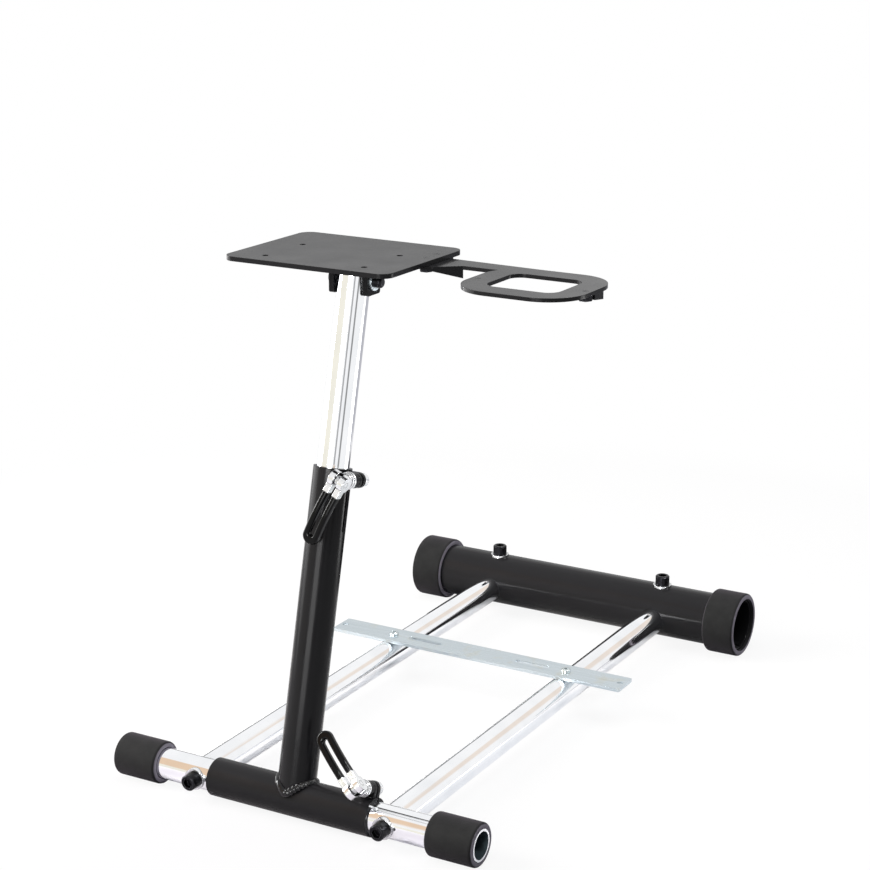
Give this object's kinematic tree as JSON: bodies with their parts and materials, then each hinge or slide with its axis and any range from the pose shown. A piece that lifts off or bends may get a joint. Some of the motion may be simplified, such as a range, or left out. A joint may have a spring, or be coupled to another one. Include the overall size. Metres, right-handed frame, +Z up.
{
  "type": "racing wheel stand",
  "caption": "Folding floor stand for a racing wheel and pedals: chrome tube base with foam feet, leaning telescopic post on cam lever clamps, tilting wheel plate and side shifter plate",
  "frame": {"origin": "middle of the footprint's bounding box, on the floor", "axes": "+Z up, +Y from the driver's side to the rear cross tube, +X to the shifter's side"},
  "size_m": [0.5366, 0.7588, 0.6014],
  "materials": {
    "chrome_tube": "bright chrome plate on drawn steel tube",
    "chrome_clamp": "chrome plate on cast and turned steel",
    "black_paint": "satin black powder coat",
    "foot_foam": "matt closed cell foam",
    "vinyl_grip": "glossy dipped vinyl",
    "zinc_bar": "bright zinc plate",
    "zinc_screw": "bright zinc plate",
    "black_screw": "oiled black oxide"
  },
  "bodies": {
    "base": {"front_cross_tube": "chrome_tube", "rear_cross_tube": "black_paint", "pedal_bar": "zinc_bar", "front_foot_left": "foot_foam", "rear_foot_left": "foot_foam", "base_tube_left": "chrome_tube", "front_bolt_left": "black_screw", "front_washer_left": "chrome_clamp", "rear_bolt_left": "black_screw", "rear_washer_left": "chrome_clamp", "pedal_bar_screw_left": "zinc_screw", "front_foot_right": "foot_foam", "rear_foot_right": "foot_foam", "base_tube_right": "chrome_tube", "front_bolt_right": "black_screw", "front_washer_right": "chrome_clamp", "rear_bolt_right": "black_screw", "rear_washer_right": "chrome_clamp", "pedal_bar_screw_right": "zinc_screw"},
    "post": {"pivot_sleeve": "black_paint", "lower_post": "black_paint", "base_clamp_nut": "chrome_clamp", "base_clamp_skewer": "chrome_clamp", "base_clamp_spacer": "black_paint", "base_clamp_saddle": "chrome_clamp", "post_clamp_nut": "chrome_clamp", "post_clamp_skewer": "chrome_clamp", "post_clamp_spacer": "black_paint", "post_clamp_saddle": "chrome_clamp"},
    "base_lever": {"base_clamp_lever": "chrome_clamp", "base_clamp_grip": "vinyl_grip"},
    "post_lever": {"post_clamp_lever": "chrome_clamp", "post_clamp_grip": "vinyl_grip"},
    "stem": {"upper_post": "chrome_tube"},
    "head": {"tilt_bracket": "black_paint", "pivot_bolt": "black_screw", "pivot_washer": "zinc_screw", "pivot_nut": "black_screw", "wheel_plate": "black_paint", "shifter_plate": "black_paint", "neck_bolt_front": "black_screw", "neck_bolt_back": "black_screw", "tray_bolt_left": "black_screw", "tray_bolt_right": "black_screw"}
  },
  "joints": [
    {"name": "post_fold", "type": "hinge", "parent": "base", "child": "post", "pos_m": [-0.03225, -0.34738, 0.024], "axis": [-1, 0, 0], "range_deg": [-18, 57]},
    {"name": "post_telescope", "type": "slide", "parent": "post", "child": "stem", "axis": [0, 0.2275, 0.9738], "range_m": [-0.14, 0.11]},
    {"name": "plate_tilt", "type": "hinge", "parent": "stem", "child": "head", "pos_m": [-0.03225, -0.22007, 0.56893], "axis": [1, 0, 0], "range_deg": [-20, 20]},
    {"name": "base_lever_cam", "type": "hinge", "parent": "post", "child": "base_lever", "pos_m": [0.05675, -0.36896, 0.06382], "axis": [0.682, 0.2757, 0.6774], "range_deg": [0, 140]},
    {"name": "post_lever_cam", "type": "hinge", "parent": "post", "child": "post_lever", "pos_m": [-0.00175, -0.302, 0.3721], "axis": [-0.9272, 0.0852, 0.3648], "range_deg": [0, 140]}
  ]
}
